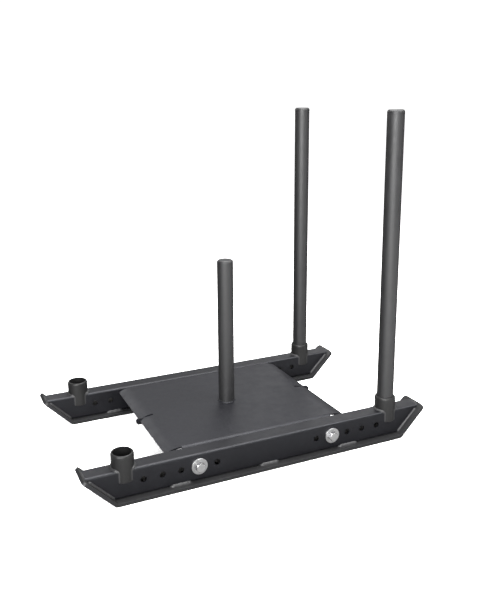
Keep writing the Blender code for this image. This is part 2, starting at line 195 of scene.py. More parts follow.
# Colours, linear
WHITE = (1.0, 1.0, 1.0)
BLUISH = (0.93, 0.94, 1.0)
WELD_COLOUR = (0.045, 0.045, 0.047)
BARE_STEEL = (0.130, 0.127, 0.124)
CHIP_COLOUR = (0.15, 0.15, 0.15)
DRAG_COLOUR = (0.26, 0.26, 0.265)
FLOOR_COLOUR = (0.95, 0.95, 0.95, 1.0)

# Each coat's colour, roughness, gloss, grain, wear on its edges and tint of its gloss
# the parts all wear one black powder coat; the colours differ from part to part as painted light and shade
COATS = {
    "rail": ((0.0028, 0.0029, 0.0044), 0.46, 0.74, 1.0, 0.25, BLUISH),
    "ski": ((0.029, 0.029, 0.030), 0.44, 0.55, 1.0, 0.40, WHITE),
    "sleeve": ((0.023, 0.023, 0.023), 0.42, 0.52, 0.8, 0.30, WHITE),
    "deck": ((0.0108, 0.0110, 0.0138), 0.48, 0.63, 1.0, 0.30, BLUISH),
    "pole": ((0.0198, 0.0198, 0.0208), 0.50, 1.00, 0.7, 0.25, WHITE),
}

# Colour and roughness of the zinc on faces, on worn edges and on the sides of hexagons; the sides' dark
# colour is painted shade
ZINCS = {
    "bright_zinc": ((0.95, 0.95, 0.95), 0.30),
    "zinc_edge": ((0.88, 0.88, 0.87), 0.22),
    "zinc_flats_painted_shade": ((0.24, 0.24, 0.25), 0.44),
}

# Noise scales, in waves for each metre, and heights of the bumps
CLOUD_SCALE = 7.0
SPECK_SCALE = 950.0
SMEAR_SCALE = 26.0
CHIP_SCALE = 70.0
THIN_SCALE = 18.0
STREAK_SCALE = 40.0
STREAK_STRETCH = (0.05, 3.0, 1.0)
GRAIN_SCALE = 1300.0
GRAIN_HEIGHT = 0.00006
PEEL_SCALE = 230.0
PEEL_HEIGHT = 0.00012
ZINC_CLOUD_SCALE = 70.0
ZINC_DULL_SCALE = 80.0
ZINC_DENT_SCALE = 90.0
ZINC_DENT_DEPTH = 0.00001

# Stage
FLOOR_HALF_SIZE = 40.0
FLOOR_DROP = 0.0004
GLOW_DISTANCES = (1.0, 4.0)         # what the camera sees: added light, from near to far
GLOW_STRENGTHS = (0.7, 0.9)
# the floor's tones to other rays: dark close to the sled is painted shade, paler between the rails is
# painted bounce light
BEFORE_Y = (-1.05, -0.22)           # what other rays see: the floor before the sled
BEFORE_TONES = (0.90, 0.06)
BETWEEN_Y = (0.05, 0.24)            # the floor between the rails, from the middle outwards
BETWEEN_TONES = (0.45, 0.0)
SKY_GLOW_AXIS = (0.45, 0.60, 0.66)
SKY_GLOW_COSINES = (0.78, 0.96)
SKY_GLOW = 0.57
SKY_DIM = 0.08
SKY_SEEN = 1.05

# Each soft box's name, place, target, size and watts
SOFT_BOXES = (
    ("key", (-2.22, -4.35, 2.02), (0.40, 0, 0.60), (2.4, 2.4), 70),
    ("key_wide", (-2.22, -4.35, 1.72), (0.40, 0, 0.60), (3.9, 1.5), 110),
    ("left_fill", (-4.2, -3.85, 2.0), (0, 0, 0.40), (2.1, 2.1), 98),
    ("overhead", (0, 0, 2.6), (0, 0, 0), (1.8, 1.8), 62),
    ("edge_light", (1.3, -1.4, 2.4), (0, 0, 0.10), (2.6, 1.1), 54),
    ("back_left", (-0.8, 3.2, 1.9), (0, 0, 0.10), (1.4, 1.2), 13),
    ("back_right", (2.1, 2.7, 1.9), (0, 0, 0.10), (1.2, 1.0), 4.5),
)

# The photograph's camera
CAMERA_PLACE = (-0.82216, -1.86476, 0.99496)
CAMERA_YAW = -0.41939
CAMERA_PITCH = 0.21682
CAMERA_ROLL = -0.01087
CAMERA_LENS = 42.65
CAMERA_SENSOR = 36
CAMERA_SHIFT = (0.0371, -0.0776)


# Outlines and solids

def clamped(value):
    return min(1.0, max(0.0, value))


def arc(centre, radius, start, end, steps=FINE_ARC):
    """Points on an arc, both ends included; angles in radians."""
    angles = [start + (end - start) * i / steps for i in range(steps + 1)]
    return [(centre[0] + radius * math.cos(a), centre[1] + radius * math.sin(a)) for a in angles]


def rounded_rectangle(low, high, radius):
    """Outline of a rectangle with four rounded corners, anticlockwise."""
    (left, bottom), (right, top) = low, high
    corners = [(right - radius, bottom + radius), (right - radius, top - radius),
               (left + radius, top - radius), (left + radius, bottom + radius)]
    outline = []
    for index, corner in enumerate(corners):
        outline += arc(corner, radius, (index - 1) * QUARTER, index * QUARTER)
    return outline


def add_prism(bm, outline, along, low, high):
    """Adds a closed prism. The outline lies across the axis, as pairs of the other two axes."""
    def point(pair, height):
        values = list(pair)
        values.insert("XYZ".index(along), height)
        return Vector(values)

    first = [bm.verts.new(point(pair, low)) for pair in outline]
    last = [bm.verts.new(point(pair, high)) for pair in outline]
    bm.faces.new(first)
    bm.faces.new(last)
    for i, vertex in enumerate(first):
        after = (i + 1) % len(first)
        bm.faces.new((vertex, first[after], last[after], last[i]))


def prism(outline, along, low, high):
    bm = bmesh.new()
    add_prism(bm, outline, along, low, high)
    return bm


def add_cylinder(bm, centre, radius, length, along, sides):
    turn = {"Y": Matrix.Rotation(QUARTER, 4, "X"), "Z": Matrix.Identity(4)}[along]
    bmesh.ops.create_cone(bm, cap_ends=True, segments=sides, radius1=radius, radius2=radius,
                          depth=length, matrix=Matrix.Translation(centre) @ turn)


def lathe(profile, sides, closed):
    """Turns (radius, height) points round Z. A closed profile gives a ring; an open one starts
    and ends on the axis."""
    bm = bmesh.new()
    rings = []
    for radius, height in profile:
        circle = [(0, 0)] if radius == 0 else arc((0, 0), radius, 0, 2 * math.pi, sides)[:-1]
        rings.append([bm.verts.new((x, y, height)) for x, y in circle])
    pairs = list(zip(rings, rings[1:]))
    if closed:
        pairs.append((rings[-1], rings[0]))
    for lower, upper in pairs:
        for i in range(sides):
            corners = [lower[i % len(lower)], lower[(i + 1) % len(lower)],
                       upper[(i + 1) % len(upper)], upper[i % len(upper)]]
            bm.faces.new(list(dict.fromkeys(corners)))
    return bm


def as_object(bm, name="scratch"):
    bmesh.ops.recalc_face_normals(bm, faces=bm.faces)
    mesh = bpy.data.meshes.new(name)
    bm.to_mesh(mesh)
    bm.free()
    obj = bpy.data.objects.new(name, mesh)
    bpy.context.scene.collection.objects.link(obj)
    return obj


def carve(bm, steps):
    """The solid bm after each (operation, other solid) in turn."""
    base = as_object(bm)
    others = []
    for operation, other in steps:
        others.append(as_object(other))
        modifier = base.modifiers.new(operation, "BOOLEAN")
        modifier.operation = operation
        modifier.object = others[-1]
        modifier.solver = "EXACT"
    result = bmesh.new()
    result.from_object(base, bpy.context.evaluated_depsgraph_get())
    for obj in [base, *others]:
        bpy.data.objects.remove(obj, do_unlink=True)
    bmesh.ops.remove_doubles(result, verts=result.verts, dist=MERGE_DISTANCE)
    bmesh.ops.dissolve_limit(result, angle_limit=FLAT_ANGLE, verts=result.verts, edges=result.edges)
    return result


def soften(bm, width, angle=SOFT_ANGLE):
    """Rounds the sharp edges; the new faces take the material of the worn edge."""
    sharp = [e for e in bm.edges if len(e.link_faces) == 2 and e.calc_face_angle(0) > angle]
    bmesh.ops.bevel(bm, geom=sharp, offset=width, offset_type="OFFSET", segments=2, profile=0.5,
                    affect="EDGES", clamp_overlap=True, material=EDGE_MATERIAL, loop_slide=True)
    return bm


def add_piece(name, bm, materials, nodes=(), body="chassis", place=None):
    """Turns the solid into a visible piece that rides on its body and stands for its CAD nodes."""
    obj = as_object(bm, name)
    if place:
        obj.data.transform(place)
    for material in materials:
        obj.data.materials.append(material)
    obj.data.shade_smooth()
    obj.data.set_sharp_from_angle(angle=SHADING_ANGLE)
    weighted = obj.modifiers.new("even_shading", "WEIGHTED_NORMAL")
    weighted.keep_sharp = True
    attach(obj, body)
    if nodes:
        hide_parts(*nodes)


# Skis, rails, sleeves, poles

def ski_line(height):
    """The ski's long section at this height above its underside, as (x, z), front tip to rear tip."""
    radius = SKI_BEND_RADIUS + SKI_THICKNESS - height
    bend_start = SKI_HALF - (SKI_BEND_RADIUS + SKI_THICKNESS) * math.tan(SKI_SLOPE_ANGLE / 2)
    half = arc((bend_start, SKI_THICKNESS + SKI_BEND_RADIUS), radius, -QUARTER, -QUARTER + SKI_SLOPE_ANGLE)
    tip_x = SKI_HALF + SKI_SLOPE_LENGTH * math.cos(SKI_SLOPE_ANGLE) - height * math.sin(SKI_SLOPE_ANGLE)
    tip_z = SKI_SLOPE_LENGTH * math.sin(SKI_SLOPE_ANGLE) + height * math.cos(SKI_SLOPE_ANGLE)
    half.append((tip_x, tip_z))
    return [(-x, z) for x, z in reversed(half)] + half


def ski_tip_cutter(end, y):
    """What lies past a ski's tip and its two round corners, laid along the slope."""
    half_width = SKI_WIDTH / 2
    reach = SKI_SLOPE_LENGTH - SKI_TIP_RADIUS
    side = half_width - SKI_TIP_RADIUS
    outline = [(reach, -FAR), (reach, -half_width)]
    outline += arc((reach, -side), SKI_TIP_RADIUS, -QUARTER, 0)[1:]
    outline += arc((reach, side), SKI_TIP_RADIUS, 0, QUARTER)
    outline += [(reach, FAR), (FAR, FAR), (FAR, -FAR)]
    bm = prism(outline, "Z", -SKI_THICKNESS, 2 * SKI_THICKNESS)
    tilt = Matrix.Rotation(-SKI_SLOPE_ANGLE, 4, "Y")
    turn = Matrix.Rotation(0 if end > 0 else math.pi, 4, "Z")
    bm.transform(Matrix.Translation((end * SKI_HALF, y, 0)) @ turn @ tilt)
    return bm


def build_ski(side_name, y, coat):
    """A flat bar bent up at both ends."""
    outline = ski_line(0) + list(reversed(ski_line(SKI_THICKNESS)))
    bar = prism(outline, "Y", y - SKI_WIDTH / 2, y + SKI_WIDTH / 2)
    bar = carve(bar, [("DIFFERENCE", ski_tip_cutter(end, y)) for end in (-1, 1)])
    add_piece(f"{side_name}_ski_bar", soften(bar, COATED_EDGE), coat, [f"{side_name}_ski"])


def bolt_holes(places):
    """Cylinders across the sled, at these numbers of pitches from the middle, both ways."""
    bm = bmesh.new()
    for place in places:
        for end in (-1, 1):
            centre = (end * place * HOLE_PITCH, 0, HOLE_Z)
            add_cylinder(bm, centre, HOLE_DIAMETER / 2, FAR, "Y", HOLE_SIDES)
    return bm


def build_rail(side_name, y, coat):
    """The tube's ends follow the ski's slope; round seats are cut for the sleeves. Its inside is
    bare steel."""
    half = RAIL_WIDTH / 2
    low, high = (y - half, RAIL_BOTTOM), (y + half, RAIL_TOP)
    blank = prism(rounded_rectangle(low, high, RAIL_CORNER), "X", -FAR / 2, FAR / 2)
    inner_low = (low[0] + RAIL_WALL, low[1] + RAIL_WALL)
    inner_high = (high[0] - RAIL_WALL, high[1] - RAIL_WALL)
    inside = prism(rounded_rectangle(inner_low, inner_high, RAIL_CORNER - RAIL_WALL), "X", -FAR, FAR)

    outline = ski_line(SKI_THICKNESS + GAP)
    top = RAIL_TOP + RAIL_HEIGHT
    outline += [(outline[-1][0], top), (outline[0][0], top)]
    ends = prism(outline, "Y", y - RAIL_WIDTH, y + RAIL_WIDTH)

    seats = bmesh.new()
    for x in (-SLEEVE_X, SLEEVE_X):
        centre = (x, y, SLEEVE_BOTTOM - GAP + RAIL_HEIGHT)
        add_cylinder(seats, centre, SLEEVE_DIAMETER / 2 + GAP, 2 * RAIL_HEIGHT, "Z", TUBE_SIDES)
    tube = carve(blank, [("DIFFERENCE", inside), ("INTERSECT", ends), ("DIFFERENCE", seats),
                         ("DIFFERENCE", bolt_holes(HOLE_PLACES))])
    soften(tube, COATED_EDGE / 2)
    for face in tube.faces:
        _, across, up = face.calc_center_median()
        within_y = inner_low[0] - GAP < across < inner_high[0] + GAP
        within_z = inner_low[1] - GAP < up < inner_high[1] + GAP
        lengthwise = abs(face.normal.x) < 0.01
        if within_y and within_z and lengthwise:
            face.material_index = INNER_MATERIAL
    add_piece(f"{side_name}_rail_tube", tube, coat, [f"{side_name}_rail"])


def build_sleeve(side_name, end_name, x, y, coat):
    """A short tube. Its mouth is dressed round outside and broken inside; its bore is painted darker, as
    painted shade.
    """
    outer, bore, edge = SLEEVE_DIAMETER / 2, SLEEVE_BORE / 2, COATED_EDGE
    profile = [(bore, SLEEVE_BOTTOM), (outer - edge, SLEEVE_BOTTOM), (outer, SLEEVE_BOTTOM + edge)]
    for px, py in arc((0, 0), 1, 0, QUARTER, MOUTH_ARC):
        radius = outer - SLEEVE_MOUTH_INSET * (1 - px)
        profile.append((radius, SLEEVE_TOP - SLEEVE_MOUTH_SLOPE * (1 - py)))
    profile += [(bore + edge, SLEEVE_TOP), (bore, SLEEVE_TOP - edge)]
    name = f"{side_name}_{end_name}_sleeve"
    bm = lathe(profile, TUBE_SIDES, closed=True)
    for face in bm.faces:
        if face.calc_center_median().xy.length < bore + edge / 4:
            face.material_index = INNER_MATERIAL
    add_piece(f"{name}_tube", bm, coat, [name], place=Matrix.Translation((x, y, 0)))


def build_pole(name, node, length, location, body, coat):
    """A round tube with its cap welded on and ground flush, so that no seam shows."""
    radius, inner, edge = POLE_DIAMETER / 2, POLE_DIAMETER / 2 - POLE_WALL, COATED_EDGE
    ceiling = length - CAP_HEIGHT
    profile = [(0, ceiling), (inner, ceiling), (inner, edge), (inner + edge, 0), (radius - edge, 0),
               (radius, edge)]
    straight_side = length - edge - CAP_EDGE_RADIUS
    profile += [(radius, edge + straight_side * i / POLE_ROWS) for i in range(1, POLE_ROWS)]
    profile += arc((radius - CAP_EDGE_RADIUS, length - CAP_EDGE_RADIUS), CAP_EDGE_RADIUS, 0, QUARTER)
    profile.append((0, length))
    bm = lathe(profile, TUBE_SIDES, closed=False)
    place = Matrix.Translation(location)
    add_piece(name, bm, coat, [node, f"{node}_cap"], body, place)


# Deck and bar

def deck_side_outline(side):
    """Section of one side: a strip of the top, the bend and the flange inside the rail."""
    outer, inner = DECK_BEND_RADIUS, DECK_BEND_RADIUS - DECK_THICKNESS
    centre = (DECK_HALF_WIDTH - outer, DECK_TOP - outer)
    bottom = DECK_TOP - DECK_DEPTH
    overlap = DECK_FLAT_HALF_WIDTH - DECK_THICKNESS
    outline = [(overlap, DECK_TOP)] + arc(centre, outer, QUARTER, 0)
    outline += [(DECK_HALF_WIDTH, bottom), (DECK_HALF_WIDTH - DECK_THICKNESS, bottom)]
    outline += arc(centre, inner, 0, QUARTER) + [(overlap, DECK_TOP - DECK_THICKNESS)]
    return [(side * y, z) for y, z in outline]


def deck_middle_outline():
    """Long section of the sheet, with both lips curved down."""
    def edge(radius):
        half = arc((LIP_START, DECK_TOP - LIP_RADIUS), radius, QUARTER, QUARTER - LIP_ANGLE)
        return [(-x, z) for x, z in reversed(half)] + half

    return edge(LIP_RADIUS) + list(reversed(edge(LIP_RADIUS - DECK_THICKNESS)))


def slit_outline(end):
    """Plan of the slit in a lip, round inside and flared at the edge."""
    half = SLIT_WIDTH / 2
    outline = arc((LIP_START + SLIT_INSET + half, 0), half, QUARTER, QUARTER + math.pi)
    flare = arc((LIP_END - SLIT_CORNER, -half - SLIT_CORNER), SLIT_CORNER, QUARTER, 0)
    outline += flare + [(FAR, flare[-1][1]), (FAR, -flare[-1][1])]
    outline += [(x, -y) for x, y in reversed(flare)]
    return [(end * x, y) for x, y in outline]


def corner_outline(end, side):
    """Plan of what a lip's round corner leaves off."""
    centre = (LIP_END - LIP_CORNER, LIP_HALF_WIDTH - LIP_CORNER)
    outline = arc(centre, LIP_CORNER, QUARTER, 0) + [(FAR, centre[1]), (FAR, FAR), (centre[0], FAR)]
    return [(end * x, side * y) for x, y in outline]


def bend_outline(side):
    """Plan of the strip that the bent side takes the place of."""
    low, high = side * DECK_FLAT_HALF_WIDTH, side * FAR
    return [(-LIP_START, low), (LIP_START, low), (LIP_START, high), (-LIP_START, high)]


def build_deck(coat):
    under_lips, over_deck = DECK_TOP - LIP_RADIUS / 2, DECK_TOP + DECK_THICKNESS
    bends = bmesh.new()
    for side in (-1, 1):
        add_prism(bends, bend_outline(side), "Z", under_lips, over_deck)
    cuts = bmesh.new()
    for end in (-1, 1):
        for outline in (slit_outline(end), corner_outline(end, -1), corner_outline(end, 1)):
            add_prism(cuts, outline, "Z", under_lips, over_deck)
    steps = [("DIFFERENCE", bends)]
    steps += [("UNION", prism(deck_side_outline(side), "X", -LIP_START, LIP_START)) for side in (-1, 1)]
    steps += [("DIFFERENCE", cuts), ("DIFFERENCE", bolt_holes((BOLT_HOLE,)))]
    middle = prism(deck_middle_outline(), "Y", -LIP_HALF_WIDTH, LIP_HALF_WIDTH)
    add_piece("deck_sheet", soften(carve(middle, steps), SHEET_EDGE), coat, ["deck_plate"])


def build_bar(coat):
    """The bar on edge under the deck's middle line."""
    half = RIB_LENGTH / 2
    outline = rounded_rectangle((-half, RIB_TOP - RIB_HEIGHT), (half, RIB_TOP), RIB_END_RADIUS)
    bm = prism(outline, "Y", -RIB_THICKNESS / 2, RIB_THICKNESS / 2)
    add_piece("centre_bar", soften(bm, COATED_EDGE), coat, ["centre_rib"])


# Bolts, washers, nuts

def hexagon_solid(height, both_ends):
    """A hexagon with its corners turned off."""
    corner = HEX_ACROSS_FLATS / 2 / math.cos(math.pi / 6)
    outline = arc((0, 0), corner, math.pi / 6, math.pi / 6 + 2 * math.pi, 6)[:-1]
    flat = HEX_ACROSS_FLATS / 2 - HEX_FACE_INSET
    wide = corner + GAP
    drop = (wide - flat) * math.tan(HEX_CHAMFER)
    foot = [(0, 0), (flat, 0), (wide, drop)] if both_ends else [(0, -GAP), (wide, -GAP)]
    keep = lathe(foot + [(wide, height - drop), (flat, height), (0, height)], BOLT_SIDES, closed=False)
    return carve(prism(outline, "Z", 0, height), [("INTERSECT", keep)])


def dull_flats_with_painted_shade(bm):
    """The six sides of a head or nut take a rougher material, painted much darker as painted shade."""
    for face in bm.faces:
        outside = face.calc_center_median().xy.length > HEX_ACROSS_FLATS / 2 - COATED_EDGE
        upright = abs(face.normal.z) < 0.1
        if outside and upright and face.material_index != EDGE_MATERIAL:
            face.material_index = INNER_MATERIAL
    return bm


def threaded_shank():
    """The shank under the head, at and below zero, with its thread cut as one helix."""
    bm = bmesh.new()
    radius, end = BOLT_DIAMETER / 2, -BOLT_LENGTH
    rows = round(THREAD_LENGTH / THREAD_PITCH * THREAD_ROWS_PER_TURN)
    heights = [end + THREAD_LENGTH * i / rows for i in range(rows + 1)]
    heights += [end + THREAD_LENGTH + THREAD_RUN_OUT, SHANK_OVERLAP]
    rings = []
    for z in heights:
        ring = []
        cone = (z - end) + radius - BOLT_POINT
        run_out = clamped((end + THREAD_LENGTH - z) / THREAD_PITCH)
        for x, y in arc((0, 0), 1, 0, 2 * math.pi, BOLT_SIDES)[:-1]:
            turn = (z / THREAD_PITCH - math.atan2(y, x) / (2 * math.pi)) % 1.0
            tooth = abs(2 * turn - 1)
            depth = THREAD_DEPTH * clamped(THREAD_STEEPNESS * tooth - THREAD_CREST) * run_out
            size = min(radius - depth, cone)
            ring.append(bm.verts.new((size * x, size * y, z)))
        rings.append(ring)
    for lower, upper in zip(rings, rings[1:]):
        for i in range(BOLT_SIDES):
            after = (i + 1) % BOLT_SIDES
            bm.faces.new((lower[i], lower[after], upper[after], upper[i]))
    bm.faces.new(rings[0])
    bm.faces.new(rings[-1])
    return bm


def joined(first, second):
    """Both solids in one mesh, left as two shells."""
    mesh = bpy.data.meshes.new("scratch")
    second.to_mesh(mesh)
    second.free()
    first.from_mesh(mesh)
    bpy.data.meshes.remove(mesh)
    return first


def washer_solid():
    """A stamped washer: one side's edges are drawn round, the other's are sharp."""
    hole, rim, thick = WASHER_HOLE / 2, WASHER_DIAMETER / 2, WASHER_THICKNESS
    edge, burr = WASHER_ROUND_EDGE, WASHER_BURR
    profile = [(hole, burr), (hole + burr, 0), (rim - burr, 0), (rim, burr)]
    profile += arc((rim - edge, thick - edge), edge, 0, QUARTER, WASHER_ARC)
    profile += arc((hole + edge, thick - edge), edge, QUARTER, math.pi, WASHER_ARC)
    return lathe(profile, WASHER_SIDES, closed=True)


def bolt_solid():
    head = dull_flats_with_painted_shade(soften(hexagon_solid(HEAD_HEIGHT, False), HEX_EDGE, HEX_SOFT_ANGLE))
    return joined(head, threaded_shank())


def nut_solid():
    """The bore is smooth, because the bolt fills it."""
    bore = bmesh.new()
    add_cylinder(bore, (0, 0, NUT_HEIGHT / 2), BOLT_DIAMETER / 2 + GAP / 2, 2 * NUT_HEIGHT, "Z", BOLT_SIDES)
    wide = BOLT_DIAMETER / 2 + NUT_SINK_WIDTH
    narrow = wide - NUT_SINK_DEPTH
    for z, low, high in ((NUT_SINK_MIDDLE, wide, narrow), (NUT_HEIGHT - NUT_SINK_MIDDLE, narrow, wide)):
        bmesh.ops.create_cone(bore, cap_ends=True, segments=BOLT_SIDES, radius1=low, radius2=high,
                              depth=NUT_SINK_DEPTH, matrix=Matrix.Translation((0, 0, z)))
    nut = carve(hexagon_solid(NUT_HEIGHT, True), [("DIFFERENCE", bore)])
    return dull_flats_with_painted_shade(soften(nut, HEX_EDGE, HEX_SOFT_ANGLE))


def build_fasteners(end, end_name, side, side_name, zinc):
    """One bolt with its two washers and nut, laid along Y with the head outside."""
    place = f"{side_name}_{end_name}"
    turn = Matrix.Rotation(-side * QUARTER, 4, "X")
    spin = Matrix.Rotation(math.radians(HEX_SPIN[end_name] * side), 4, "Z")

    def laid(distance):
        return Matrix.Translation((end * BOLT_HOLE * HOLE_PITCH, side * distance, HOLE_Z)) @ turn @ spin

    add_piece(f"{place}_hex_bolt", bolt_solid(), zinc, [f"{place}_bolt"], place=laid(BOLT_HEAD_Y))
    for where, distance in (("outer", OUTER_WASHER_Y), ("inner", INNER_WASHER_Y)):
        name = f"{place}_{where}"
        nodes = [f"{name}_washer"]
        add_piece(f"{name}_flat_washer", washer_solid(), zinc, nodes, place=laid(distance))
    add_piece(f"{place}_hex_nut", nut_solid(), zinc, [f"{place}_nut"], place=laid(NUT_Y))


# Weld beads

def bead(bm, path, width, closed=False):
    """Adds a weld bead along the inner corner of two faces. Each entry of path has the corner
    point, the directions of the two faces away from it, and its share of the width."""
    points = [Vector(entry[0]) for entry in path]
    run, length = [0.0], 0.0
    for before, after in zip(points, points[1:]):
        length += (after - before).length
        run.append(length)
    rows = []
    for (corner, first, second, share_of_width), s in zip(path, run):
        size = width * share_of_width
        ends = 1.0 if closed else math.sqrt(clamped(min(s, length - s) / size))
        # Two waves with no common length, so that no two parts of a bead are alike
        wander = 1 + WIDTH_WANDER * math.sin(s * 311 + corner[0] * 17) * math.sin(s * 97 + 2.1)
        row = []
        for i in range(BEAD_POINTS):
            share = i / (BEAD_POINTS - 1)
            angle = math.radians(-BEAD_OVERLAP + (90 + 2 * BEAD_OVERLAP) * share)
            lag = s + RIPPLE_LENGTH * RIPPLE_LAG * math.sin(math.pi * share)
            wave = 1 - RIPPLE_HEIGHT * (lag / RIPPLE_LENGTH % 1.0) ** 2
            reach = max(size * ends * wave * wander, size * BEAD_LEAST)
            flatten = 1 - BEAD_FLATNESS * math.sin(2 * math.radians(90 * share))
            direction = Vector(first) * math.cos(angle) + Vector(second) * math.sin(angle)
            row.append(bm.verts.new(Vector(corner) + direction * reach * flatten))
        root = Vector(corner) - (Vector(first) + Vector(second)) * size * BEAD_ROOT
        row.append(bm.verts.new(root))
        rows.append(row)
    pairs = list(zip(rows, rows[1:]))
    if closed:
        pairs.append((rows[-1], rows[0]))
    for lower, upper in pairs:
        for i in range(BEAD_POINTS + 1):
            after = (i + 1) % (BEAD_POINTS + 1)
            bm.faces.new((lower[i], lower[after], upper[after], upper[i]))
    if not closed:
        bm.faces.new(rows[0])
        bm.faces.new(rows[-1])


def straight(start, end, first, second):
    """The path of a straight bead; first and second are the directions of its two faces."""
    start, end = Vector(start), Vector(end)
    steps = round((end - start).length / BEAD_STEP)
    return [(start.lerp(end, i / steps), first, second, 1.0) for i in range(steps + 1)]


def sleeve_seam(centre_x, centre_y, along):
    """Where one half of a sleeve meets its rail: up the side, over the rounded edge, round the
    sleeve on the rail's top and down the other side. tilt turns from 0 on the top to a quarter
    turn on the side."""
    radius, half, corner = SLEEVE_DIAMETER / 2, RAIL_WIDTH / 2, RAIL_CORNER
    flat = half - corner
    side_x = math.sqrt(radius ** 2 - half ** 2)
    low, bend = SLEEVE_BOTTOM + SEAM_FOOT, RAIL_TOP - corner
    quarter = []
    steps = round((bend - low) / BEAD_STEP)
    for i in range(steps):
        quarter.append((side_x, half, low + (bend - low) * i / steps, QUARTER, SEAM_SIDE_SHARE))
    steps = round(corner * QUARTER / BEAD_STEP)
    for i in range(steps):
        tilt = QUARTER * (1 - i / steps)
        y = flat + corner * math.sin(tilt)
        share = 1 - (1 - SEAM_SIDE_SHARE) * (tilt / QUARTER)
        quarter.append((math.sqrt(radius ** 2 - y ** 2), y, bend + corner * math.cos(tilt), tilt, share))
    widest = math.asin(flat / radius)
    steps = round(radius * widest / BEAD_STEP)
    for i in range(steps + 1):
        angle = widest * (1 - i / steps)
        quarter.append((radius * math.cos(angle), radius * math.sin(angle), RAIL_TOP, 0.0, 1.0))
    path = []
    mirrored = [(x, -y, z, -tilt, share) for x, y, z, tilt, share in reversed(quarter[:-1])]
    for x, y, z, tilt, share in quarter + mirrored:
        outward = Vector((along * x, y, 0)).normalized()
        face = Vector((0, math.sin(tilt), math.cos(tilt)))
        lean = outward.dot(face)
        point = Vector((centre_x + along * x, centre_y + y, z)) - (outward + face) * SEAM_INSET
        along_face = (outward - face * lean).normalized()
        along_sleeve = (face - outward * lean).normalized()
        path.append((point, along_face, along_sleeve, share))
    return path


def build_rail_welds(side, side_name, coat):
    """Stitches along the rail's foot, beads where its ends meet the ski's slopes."""
    bm = bmesh.new()
    up = (0, 0, 1)
    foot = RAIL_BOTTOM - GAP
    for way, stitches in ((1, OUTER_STITCHES), (-1, INNER_STITCHES)):
        face = side * (RAIL_Y + way * (RAIL_WIDTH / 2 - STITCH_INSET))
        for low, high in stitches:
            path = straight((low, face, foot), (high, face, foot), (0, side * way, 0), up)
            bead(bm, path, STITCH_BEAD)
    for end in (-1, 1):
        slope = Vector((end * math.cos(SKI_SLOPE_ANGLE), 0, math.sin(SKI_SLOPE_ANGLE)))
        normal = (-end * math.sin(SKI_SLOPE_ANGLE), 0, math.cos(SKI_SLOPE_ANGLE))
        bend = Vector((end * SKI_HALF, 0, 0)) + Vector(normal) * SKI_THICKNESS
        start = bend + slope * SLOPE_BEAD_START
        for way in (-1, 1):
            aside = Vector((0, side * (RAIL_Y + way * (RAIL_WIDTH / 2 - SLOPE_INSET)), 0))
            low, high = start + aside, start + aside + slope * SLOPE_BEAD_LENGTH
            bead(bm, straight(low, high, (0, side * way, 0), normal), SLOPE_BEAD)
        over = bend + slope * ((RAIL_TOP - bend.z) / slope.z)
        seam = over.z - SLOPE_INSET
        inner = side * (RAIL_Y - RAIL_WIDTH / 2 + RAIL_CORNER)
        outer = side * (RAIL_Y + RAIL_WIDTH / 2 - RAIL_CORNER)
        path = straight((over.x, inner, seam), (over.x, outer, seam), (-end, 0, 0), slope)
        bead(bm, path, RAIL_TOP_BEAD)
    add_piece(f"{side_name}_rail_welds", bm, coat)


def build_sleeve_welds(side, side_name, coat):
    """Two beads round each sleeve, one on either half."""
    bm = bmesh.new()
    for end in (-1, 1):
        for along in (-1, 1):
            bead(bm, sleeve_seam(end * SLEEVE_X, side * RAIL_Y, along), SLEEVE_BEAD)
    add_piece(f"{side_name}_sleeve_welds", bm, coat)


def build_middle_welds(coat):
    """A ring round the post's foot, and stitches along both sides of the bar under the deck."""
    bm = bmesh.new()
    path = []
    for x, y in arc((0, 0), 1, 0, 2 * math.pi, POST_BEAD_STEPS)[:-1]:
        outward = Vector((x, y, 0))
        corner = outward * (POLE_DIAMETER / 2 - GAP) + Vector((0, 0, DECK_TOP))
        path.append((corner, outward, (0, 0, 1), 1.0))
    bead(bm, path, POST_BEAD, closed=True)
    add_piece("post_weld", bm, coat)

    bm = bmesh.new()
    under = DECK_TOP - DECK_THICKNESS
    for side in (-1, 1):
        y = side * RIB_THICKNESS / 2
        for low, high in BAR_STITCHES:
            bead(bm, straight((low, y, under), (high, y, under), (0, side, 0), (0, 0, -1)), BAR_BEAD)
    add_piece("centre_bar_welds", bm, coat)


# Shader nodes

def add_node(tree, kind, links=None, **values):
    """A new node. values go to its inputs, or else to its settings; links feed its inputs."""
    node = tree.nodes.new(kind)
    for key, value in values.items():
        if key in node.inputs:
            node.inputs[key].default_value = value
        else:
            setattr(node, key, value)
    for key, source in (links or {}).items():
        tree.links.new(source, node.inputs[key])
    return node


def map_range(tree, source, low, high, to_low=0.0, to_high=1.0, kind="LINEAR"):
    """Maps source from low..high to to_low..to_high, clamped."""
    node = add_node(tree, "ShaderNodeMapRange", {"Value": source}, interpolation_type=kind)
    for key, value in (("From Min", low), ("From Max", high), ("To Min", to_low), ("To Max", to_high)):
        node.inputs[key].default_value = value
    return node.outputs["Result"]


def empty_tree(owner):
    owner.use_nodes = True
    owner.node_tree.nodes.clear()
    return owner.node_tree


